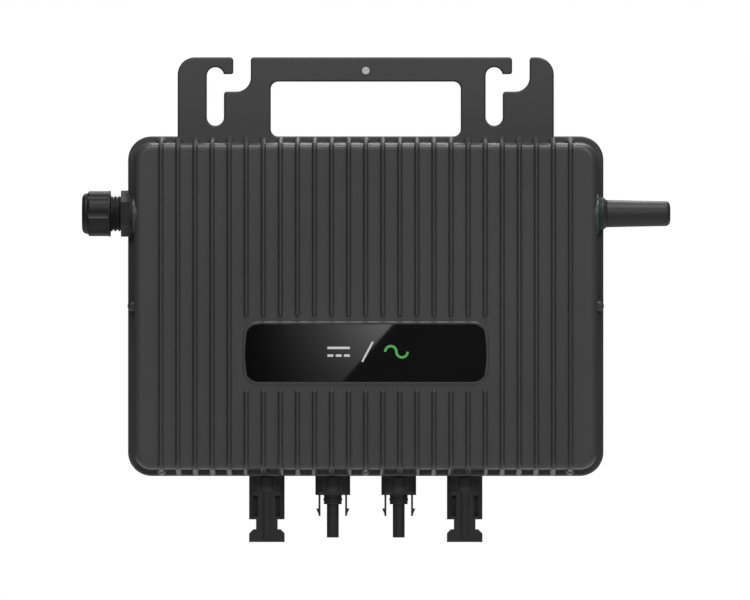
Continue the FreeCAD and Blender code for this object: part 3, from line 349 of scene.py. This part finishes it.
def powder_coat(name, base, roughness, grain):
    """Dark powder coat over cast metal: fine lumps, slow tone drift, rubbed edges, dust."""
    material, tree, shader, vector = blank_material(name)
    lumps = effect(tree, "Surface grain", vector, grain_size=grain, drift_size=0.06)
    wear = effect(tree, "Edge wear", vector, radius=0.0006, patch_size=0.008, amount=0.08)
    dust = effect(tree, "Settled dust", vector, amount=0.05)
    darker, lighter = [c * 0.94 for c in base], [c * 1.05 for c in base]
    tone = blended(tree, lumps.outputs["Drift"], darker, lighter)
    rubbed = blended(tree, wear.outputs["Mask"], tone, [c * 1.5 for c in base])
    dusty = blended(tree, dust.outputs["Mask"], rubbed, (0.23, 0.225, 0.21))
    wire(tree, dusty, shader.inputs["Base Color"])
    sheen = spread(tree, lumps.outputs["Drift"], 0.0, 1.0, roughness - 0.025, roughness + 0.025)
    wire(tree, maths(tree, "SUBTRACT", sheen, maths(tree, "MULTIPLY", wear.outputs["Mask"], 0.2)),
         shader.inputs["Roughness"])
    bumped(tree, shader, lumps.outputs["Height"], grain * 0.12, 0.35, rounding=0.0003)
    return material


def moulded_plastic(name, base, roughness):
    """Moulded plastic: a fine spark-eroded texture with slightly polished edges."""
    grain = 0.00025
    material, tree, shader, vector = blank_material(name, Specular_IOR_Level=0.4)
    skin = effect(tree, "Surface grain", vector, grain_size=grain, drift_size=0.02)
    wear = effect(tree, "Edge wear", vector, radius=0.0004, patch_size=0.004, amount=0.12)
    tone = blended(tree, skin.outputs["Drift"], [c * 0.9 for c in base],
                   [min(1.0, c * 1.1) for c in base])
    wire(tree, blended(tree, wear.outputs["Mask"], tone, [min(1.0, c * 1.6) for c in base]),
         shader.inputs["Base Color"])
    sheen = spread(tree, skin.outputs["Drift"], 0.0, 1.0, roughness - 0.04, roughness + 0.04)
    wire(tree, sheen, shader.inputs["Roughness"])
    bumped(tree, shader, skin.outputs["Height"], grain * 0.1, 0.3, rounding=0.0002)
    return material


def matt_solid(name, base):
    """Rubber, ferrite or a soft pad: matt, with a faint bloom."""
    material, tree, shader, vector = blank_material(name, Specular_IOR_Level=0.35)
    skin = effect(tree, "Surface grain", vector, grain_size=0.0002, drift_size=0.004)
    bloom = [min(1.0, c * 1.5 + 0.004) for c in base]
    wire(tree, blended(tree, skin.outputs["Drift"], base, bloom), shader.inputs["Base Color"])
    wire(tree, spread(tree, skin.outputs["Drift"], 0.0, 1.0, 0.62, 0.78),
         shader.inputs["Roughness"])
    bumped(tree, shader, skin.outputs["Height"], 0.00002, 0.4)
    return material


def turned_metal(name, base, roughness, stretch=(1.0, 1.0, 1.0)):
    """Bare metal with fine marks; stretch sets how far they run along each axis."""
    material, tree, shader, vector = blank_material(name, Metallic=1.0)
    mapping = add_node(tree, "ShaderNodeMapping", {"Scale": stretch})
    wire(tree, vector, mapping.inputs["Vector"])
    marks = effect(tree, "Surface grain", mapping.outputs["Vector"], grain_size=0.0003,
                   drift_size=0.004)
    wear = effect(tree, "Edge wear", vector, radius=0.0002, patch_size=0.002, amount=0.4)
    tone = blended(tree, marks.outputs["Drift"], [c * 0.88 for c in base], base)
    wire(tree, blended(tree, wear.outputs["Mask"], tone, [min(1.0, c * 1.2) for c in base]),
         shader.inputs["Base Color"])
    wire(tree, spread(tree, marks.outputs["Height"], 0.3, 0.7, roughness - 0.08,
                      roughness + 0.08), shader.inputs["Roughness"])
    bumped(tree, shader, marks.outputs["Height"], 0.00001, 0.3, rounding=0.0001)
    return material


def gloss_panel(name, base):
    """Black glossy panel: clear over black, with faint wipe marks in its sheen."""
    material, tree, shader, vector = blank_material(name, Coat_Weight=1.0, Coat_Roughness=0.015,
                                                    Coat_IOR=1.5, Specular_IOR_Level=0.0)
    smear = effect(tree, "Surface grain", vector, grain_size=0.012, drift_size=0.03)
    wire(tree, blended(tree, smear.outputs["Drift"], base, [c * 1.3 for c in base]),
         shader.inputs["Base Color"])
    wire(tree, spread(tree, smear.outputs["Drift"], 0.0, 1.0, 0.16, 0.24),
         shader.inputs["Roughness"])
    return material


def printed_ink(name, base):
    """Screen-printed ink: even, with a slight fleck."""
    material, tree, shader, vector = blank_material(name)
    fleck = effect(tree, "Surface grain", vector, grain_size=0.00015, drift_size=0.003)
    wire(tree, blended(tree, fleck.outputs["Drift"], [c * 0.93 for c in base], base),
         shader.inputs["Base Color"])
    wire(tree, spread(tree, fleck.outputs["Drift"], 0.0, 1.0, 0.38, 0.48),
         shader.inputs["Roughness"])
    bumped(tree, shader, fleck.outputs["Height"], 0.00001, 0.3)
    return material


def board_laminate(name):
    """Green solder mask over copper tracks."""
    material, tree, shader, vector = blank_material(name)
    turned = add_node(tree, "ShaderNodeMapping", {"Rotation": (math.radians(90), 0.0, 0.0)})
    wire(tree, vector, turned.inputs["Vector"])
    tracks = add_node(tree, "ShaderNodeTexBrick",
                      {"Scale": 90.0, "Mortar Size": 0.05, "Brick Width": 0.9,
                       "Row Height": 0.22})
    wire(tree, turned.outputs["Vector"], tracks.inputs["Vector"])
    skin = effect(tree, "Surface grain", vector, grain_size=0.0005, drift_size=0.02)
    mask = blended(tree, tracks.outputs["Fac"], (0.018, 0.11, 0.045), (0.05, 0.22, 0.09))
    wire(tree, blended(tree, skin.outputs["Drift"], mask, (0.02, 0.13, 0.055)),
         shader.inputs["Base Color"])
    wire(tree, spread(tree, skin.outputs["Drift"], 0.0, 1.0, 0.25, 0.35),
         shader.inputs["Roughness"])
    bumped(tree, shader, tracks.outputs["Fac"], 0.00004, 0.5)
    return material


def wound_wire(name, base, axis):
    """Lacquered wire laid side by side, with painted shade in the grooves between turns; the turns
    step along one axis.
    """
    material, tree, shader, vector = blank_material(name, Metallic=1.0)
    turns = add_node(tree, "ShaderNodeTexWave", {"Scale": 190.0, "Distortion": 0.6,
                                                 "Detail": 1.0},
                     wave_type="BANDS", bands_direction=axis)
    wire(tree, vector, turns.inputs["Vector"])
    # Painted shade: the colour falls to about a third of the wire's colour in the grooves between
    # turns.
    wire(tree, blended(tree, turns.outputs["Fac"], [c * 0.35 for c in base], base),
         shader.inputs["Base Color"])
    wire(tree, spread(tree, turns.outputs["Fac"], 0.0, 1.0, 0.45, 0.28),
         shader.inputs["Roughness"])
    bumped(tree, shader, turns.outputs["Fac"], 0.0003, 0.8)
    return material


def paint(material, *nodes):
    """Gives a material to CAD nodes, in every slot that they have."""
    for name in nodes:
        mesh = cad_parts[name].data
        if not mesh.materials:
            mesh.materials.append(material)
        for slot in range(len(mesh.materials)):
            mesh.materials[slot] = material


# -------------------------------------------------------------- mesh helpers


def new_piece(name, shape, material):
    """Turns a bmesh into a finished piece that rides on the case."""
    mesh = bpy.data.meshes.new(name)
    bmesh.ops.recalc_face_normals(shape, faces=shape.faces)
    shape.to_mesh(mesh)
    shape.free()
    mesh.materials.append(material)
    piece = bpy.data.objects.new(name, mesh)
    bpy.context.scene.collection.objects.link(piece)
    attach(piece, "root")


def add_bar(shape, centre, extent, turn=0.0):
    """A flat bar; turn is about the Y axis, in degrees."""
    made = bmesh.ops.create_cube(shape, size=1.0)["verts"]
    bmesh.ops.scale(shape, vec=extent, verts=made)
    bmesh.ops.rotate(shape, cent=(0, 0, 0), matrix=Matrix.Rotation(math.radians(turn), 3, "Y"),
                     verts=made)
    bmesh.ops.translate(shape, vec=centre, verts=made)


def add_half_ring(shape, centre, radius, stroke, thick, start):
    """A flat half ring of a stroke's width; it starts at an angle about the Y axis."""
    square = bmesh.ops.create_grid(shape, x_segments=1, y_segments=1, size=0.5)["verts"]
    bmesh.ops.scale(shape, vec=(stroke, thick, 1.0), verts=square)
    bmesh.ops.translate(shape, vec=(radius, 0, 0), verts=square)
    bmesh.ops.rotate(shape, cent=(0, 0, 0), verts=square,
                     matrix=Matrix.Rotation(math.radians(start), 3, "Y"))
    bmesh.ops.translate(shape, vec=centre, verts=square)
    face = list({f for v in square for f in v.link_faces})
    bmesh.ops.spin(shape, geom=face, cent=centre, axis=(0, 1, 0),
                   angle=math.radians(180), steps=ARC_STEPS, use_duplicate=False)


# ----------------------------------------------------------------- operators


class INVERTER_OT_castings(Operator):
    """Powder-coat the rear case and the ribbed housing"""

    bl_idname = "inverter.castings"
    bl_label = "Castings"

    def execute(self, context):
        look = context.scene.inverter_finish
        paint(powder_coat("case powder coat", look.case_colour, look.coat_roughness,
                          look.coat_grain), "rear_case")
        paint(powder_coat("housing powder coat", look.housing_colour, look.coat_roughness,
                          look.coat_grain), "front_housing")
        return {"FINISHED"}


class INVERTER_OT_fasteners(Operator):
    """Finish the case screws, the earth point and the case gasket"""

    bl_idname = "inverter.fasteners"
    bl_label = "Screws and earth point"

    def execute(self, context):
        look = context.scene.inverter_finish
        paint(turned_metal("screw steel", (0.46, 0.46, 0.47), 0.34),
              "case_screws", "board_screws", "ac_terminal_screws")
        paint(turned_metal("earth point metal", (0.72, 0.72, 0.73), 0.42),
              "earth_rivet")
        paint(matt_solid("case gasket rubber", look.rubber_colour), "case_gasket")
        return {"FINISHED"}


class INVERTER_OT_gland(Operator):
    """Finish the cable gland"""

    bl_idname = "inverter.gland"
    bl_label = "Cable gland"

    def execute(self, context):
        look = context.scene.inverter_finish
        nylon = moulded_plastic("gland nylon", look.gland_colour, look.plastic_roughness)
        paint(nylon, "gland_body", "gland_nut", "gland_claw")
        paint(matt_solid("gland rubber", look.rubber_colour), "gland_seal", "gland_gasket")
        return {"FINISHED"}


class INVERTER_OT_antenna(Operator):
    """Finish the antenna and its ring seal"""

    bl_idname = "inverter.antenna"
    bl_label = "Antenna"

    def execute(self, context):
        look = context.scene.inverter_finish
        paint(moulded_plastic("antenna plastic", look.antenna_colour, look.plastic_roughness),
              "antenna_base", "antenna_sheath")
        paint(turned_metal("antenna rod", (0.75, 0.62, 0.38), 0.3), "antenna_core",
              "antenna_coax")
        paint(matt_solid("antenna seal rubber", look.seal_colour), "antenna_seal")
        return {"FINISHED"}


class INVERTER_OT_connectors(Operator):
    """Finish the solar connectors, their latches, contacts and seals"""

    bl_idname = "inverter.connectors"
    bl_label = "Solar connectors"

    def execute(self, context):
        look = context.scene.inverter_finish
        shells = moulded_plastic("connector plastic", look.connector_colour,
                                 look.plastic_roughness)
        paint(shells, "dc_coupler_left", "dc_coupler_right", "dc_plug_left", "dc_plug_right",
              "latch_left_outer", "latch_left_inner", "latch_right_outer",
              "latch_right_inner")
        paint(turned_metal("tinned contact", (0.72, 0.68, 0.58), 0.25, (1, 1, 0.1)),
              "dc_pin_left", "dc_pin_right", "dc_socket_left", "dc_socket_right", "dc_straps")
        paint(matt_solid("connector rubber", look.rubber_colour), "probe_seals",
              "dc_gaskets")
        return {"FINISHED"}


class INVERTER_OT_badge(Operator):
    """Gloss the badge panel and print the current-conversion sign on it"""

    bl_idname = "inverter.badge"
    bl_label = "Badge"

    def execute(self, context):
        look = context.scene.inverter_finish
        sign = context.scene.inverter_sign
        paint(gloss_panel("badge gloss", look.badge_colour), "badge_panel")
        x, z = BADGE_MIDDLE.x + SIGN_SHIFT.x, BADGE_MIDDLE.z + SIGN_SHIFT.z
        y = BADGE_LOW.y - sign.thickness / 2
        arm, stroke, thick = sign.width * ARM_SHARE, sign.stroke, sign.thickness
        left, right = x - (sign.width - arm) / 2, x + (sign.width - arm) / 2
        bars = bmesh.new()
        add_bar(bars, (left, y, z + BAR_RISE), (arm, thick, stroke))
        dash = arm * DASH_SHARE
        for step in (-1, 0, 1):
            add_bar(bars, (left + step * (arm - dash) / 2, y, z - BAR_RISE),
                    (dash, thick, stroke))
        add_bar(bars, (x, y, z), (stroke * SLASH_STROKE, thick, SLASH_LENGTH), turn=SLASH_LEAN)
        new_piece("current_sign_bars", bars, printed_ink("white ink", sign.bar_colour))
        wave = bmesh.new()
        reach = arm / 4
        for side, start in ((-1, 180.0), (1, 0.0)):
            add_half_ring(wave, (right + side * reach, y, z), reach, stroke, thick, start)
        new_piece("current_sign_wave", wave, printed_ink("green ink", sign.wave_colour))
        return {"FINISHED"}


class INVERTER_OT_electronics(Operator):
    """Finish the boards and the power parts inside"""

    bl_idname = "inverter.electronics"
    bl_label = "Electronics"

    def execute(self, context):
        paint(board_laminate("board laminate"), "main_board", "control_board")
        paint(turned_metal("plated brass", (0.7, 0.62, 0.42), 0.3),
              "board_standoffs")
        paint(matt_solid("grey ferrite", (0.05, 0.05, 0.053)), "transformer_cores",
              "choke_core")
        paint(wound_wire("lacquered copper", (0.72, 0.3, 0.13), "Z"), "transformer_windings")
        paint(wound_wire("choke copper", (0.74, 0.33, 0.14), "Z"), "choke_winding")
        paint(moulded_plastic("capacitor sleeve", (0.02, 0.022, 0.05), 0.3),
              "bulk_capacitors")
        paint(moulded_plastic("film capacitor yellow", (0.62, 0.42, 0.05), 0.35),
              "film_capacitors")
        paint(moulded_plastic("relay black", (0.018, 0.018, 0.02), 0.35), "grid_relays",
              "power_transistors", "control_chip", "board_header")
        paint(matt_solid("thermal pad", (0.3, 0.33, 0.38)), "thermal_pads")
        paint(moulded_plastic("fuse sleeve", (0.72, 0.72, 0.68), 0.25), "ac_fuse")
        paint(moulded_plastic("terminal green", (0.03, 0.24, 0.09), 0.4),
              "ac_terminal_block")
        paint(turned_metal("shield tin", (0.6, 0.61, 0.62), 0.32), "radio_module")
        return {"FINISHED"}


class INVERTER_OT_stage(Operator):
    """Set the pale floor, the soft lights, the surroundings and the camera"""

    bl_idname = "inverter.stage"
    bl_label = "Studio stage"

    def execute(self, context):
        stage = context.scene.inverter_stage
        self.floor(stage)
        self.surroundings(context.scene, stage)
        self.lights(stage)
        self.camera(context.scene, stage)
        context.scene.view_settings.view_transform = "Standard"
        return {"FINISHED"}

    def floor(self, stage):
        """A pale disc that fades out into the white surroundings."""
        shape = bmesh.new()
        bmesh.ops.create_circle(shape, cap_ends=True, segments=96, radius=stage.floor_radius)
        bmesh.ops.translate(shape, verts=shape.verts,
                            vec=(0, 0, CAD_BOX[0].z - stage.floor_drop))
        mesh = bpy.data.meshes.new("studio_floor")
        shape.to_mesh(mesh)
        shape.free()
        material, tree, shader, vector = blank_material("pale floor", Roughness=0.9)
        parts = add_node(tree, "ShaderNodeSeparateXYZ")
        wire(tree, vector, parts.inputs[0])
        across = maths(tree, "POWER", parts.outputs["X"], 2.0)
        deep = maths(tree, "POWER", parts.outputs["Y"], 2.0)
        reach = maths(tree, "SQRT", maths(tree, "ADD", across, deep))
        grain = effect(tree, "Surface grain", vector, grain_size=0.002, drift_size=0.4)
        wire(tree, blended(tree, grain.outputs["Drift"], (0.8, 0.8, 0.8), (0.84, 0.84, 0.84)),
             shader.inputs["Base Color"])
        wire(tree, spread(tree, reach, FLOOR_SOLID, stage.floor_radius * FLOOR_FADED, 1.0, 0.0),
             shader.inputs["Alpha"])
        mesh.materials.append(material)
        floor = bpy.data.objects.new("studio_floor", mesh)
        bpy.context.scene.collection.objects.link(floor)

    def surroundings(self, scene, stage):
        """White behind the object, and a weaker even light all round it."""
        world = bpy.data.worlds.new("studio air")
        scene.world = world
        world.use_nodes = True
        tree = world.node_tree
        tree.nodes.clear()
        end = tree.nodes.new("ShaderNodeOutputWorld")
        pick = tree.nodes.new("ShaderNodeMixShader")
        path = tree.nodes.new("ShaderNodeLightPath")
        seen = add_node(tree, "ShaderNodeBackground", {"Color": (1, 1, 1, 1), "Strength": 1.0})
        cast = add_node(tree, "ShaderNodeBackground",
                        {"Color": (1, 1, 1, 1), "Strength": stage.ambient})
        wire(tree, path.outputs["Is Camera Ray"], pick.inputs[0])
        wire(tree, cast.outputs[0], pick.inputs[1])
        wire(tree, seen.outputs[0], pick.inputs[2])
        wire(tree, pick.outputs[0], end.inputs["Surface"])

    def lights(self, stage):
        """Softboxes: overhead key, two front fills, one behind, and a card for the badge."""
        boxes = (
            ("overhead_key", stage.key_power, (1.2, 0.3), (0.1, -0.45, 1.3)),
            ("front_fill_left", stage.fill_power * LEFT_FILL_SHARE, (0.5, 0.5), (-0.4, -2.45, 0.9)),
            ("front_fill_right", stage.fill_power, (0.6, 0.5), (0.85, -2.3, 1.0)),
            ("rear_fill", stage.back_power, (1.2, 0.8), (0.3, 1.5, 1.7)),
        )
        for name, power, extent, place in boxes:
            lamp = bpy.data.lights.new(name, "AREA")
            lamp.shape = "RECTANGLE"
            lamp.size, lamp.size_y = extent
            lamp.energy = power
            holder = bpy.data.objects.new(name, lamp)
            holder.location = place
            aim = LIGHT_TARGET - Vector(place)
            holder.rotation_euler = aim.to_track_quat("-Z", "Y").to_euler()
            holder.visible_camera = False
            bpy.context.scene.collection.objects.link(holder)
        self.badge_card(stage)

    def badge_card(self, stage):
        """A graded card, seen only in glossy surfaces, that lays a slanted glare on the badge."""
        shape = bmesh.new()
        bmesh.ops.create_grid(shape, x_segments=1, y_segments=1, size=0.5)
        bmesh.ops.scale(shape, vec=GLARE_SIZE, verts=shape.verts)
        bmesh.ops.translate(shape, vec=(-GLARE_SIZE[0] / 2, 0.0, 0.0), verts=shape.verts)
        bmesh.ops.rotate(shape, cent=(0, 0, 0), verts=shape.verts,
                         matrix=Matrix.Rotation(math.radians(90), 3, "X"))
        bmesh.ops.rotate(shape, cent=(0, 0, 0), verts=shape.verts,
                         matrix=Matrix.Rotation(math.radians(GLARE_LEAN), 3, "Y"))
        bmesh.ops.translate(shape, vec=GLARE_PLACE, verts=shape.verts)
        bmesh.ops.reverse_faces(shape, faces=shape.faces)
        mesh = bpy.data.meshes.new("badge_glare_card")
        shape.to_mesh(mesh)
        shape.free()
        material = bpy.data.materials.new("glare card")
        material.use_nodes = True
        tree = material.node_tree
        tree.nodes.clear()
        end = tree.nodes.new("ShaderNodeOutputMaterial")
        glow = tree.nodes.new("ShaderNodeEmission")
        place = tree.nodes.new("ShaderNodeTexCoord")
        parts = add_node(tree, "ShaderNodeSeparateXYZ")
        wire(tree, place.outputs["Object"], parts.inputs[0])
        across = maths(tree, "POWER", spread(tree, parts.outputs["X"], *GLARE_ACROSS), 2.0)
        upward = spread(tree, parts.outputs["Z"], *GLARE_UPWARD, GLARE_LOWEST, 1.0)
        wire(tree, maths(tree, "MULTIPLY", maths(tree, "MULTIPLY", across, upward),
                         stage.glare), glow.inputs["Strength"])
        wire(tree, glow.outputs[0], end.inputs["Surface"])
        mesh.materials.append(material)
        card = bpy.data.objects.new("badge_glare_card", mesh)
        card.visible_camera = False
        card.visible_diffuse = False
        card.visible_shadow = False
        bpy.context.scene.collection.objects.link(card)

    def camera(self, scene, stage):
        """A long lens, square to the front."""
        data = bpy.data.cameras.new("studio_camera")
        data.lens = stage.lens
        data.sensor_width = FILM_WIDTH
        distance = stage.view_width * stage.lens / FILM_WIDTH
        data.clip_start, data.clip_end = 0.1, 50.0
        holder = bpy.data.objects.new("studio_camera", data)
        holder.location = (stage.view_x, -distance - FRONT_DEPTH, stage.view_z)
        holder.rotation_euler = (math.radians(90), 0, 0)
        scene.collection.objects.link(holder)
        scene.camera = holder


class INVERTER_PT_panel(Panel):
    """The inverter's pieces and their settings"""

    bl_idname = "INVERTER_PT_panel"
    bl_label = "Micro inverter"
    bl_space_type = "VIEW_3D"
    bl_region_type = "UI"
    bl_category = "Inverter"

    def draw(self, context):
        column = self.layout.column(align=True)
        for operator in OPERATORS:
            column.operator(operator.bl_idname)
        for group in (context.scene.inverter_finish, context.scene.inverter_sign,
                      context.scene.inverter_stage):
            box = self.layout.box()
            for name in group.__annotations__:
                box.prop(group, name)


SETTINGS = (FinishSettings, SymbolSettings, StageSettings)
OPERATORS = (INVERTER_OT_castings, INVERTER_OT_fasteners, INVERTER_OT_gland,
             INVERTER_OT_antenna, INVERTER_OT_connectors, INVERTER_OT_badge,
             INVERTER_OT_electronics, INVERTER_OT_stage)


def register():
    for item in (*SETTINGS, *OPERATORS, INVERTER_PT_panel):
        bpy.utils.register_class(item)
    bpy.types.Scene.inverter_finish = PointerProperty(type=FinishSettings)
    bpy.types.Scene.inverter_sign = PointerProperty(type=SymbolSettings)
    bpy.types.Scene.inverter_stage = PointerProperty(type=StageSettings)


def unregister():
    del bpy.types.Scene.inverter_stage
    del bpy.types.Scene.inverter_sign
    del bpy.types.Scene.inverter_finish
    for item in reversed((*SETTINGS, *OPERATORS, INVERTER_PT_panel)):
        bpy.utils.unregister_class(item)


def main():
    """Makes every piece in order."""
    register()
    bpy.ops.inverter.castings()
    bpy.ops.inverter.fasteners()
    bpy.ops.inverter.gland()
    bpy.ops.inverter.antenna()
    bpy.ops.inverter.connectors()
    bpy.ops.inverter.badge()
    bpy.ops.inverter.electronics()
    bpy.ops.inverter.stage()


if __name__ == "__main__":
    main()
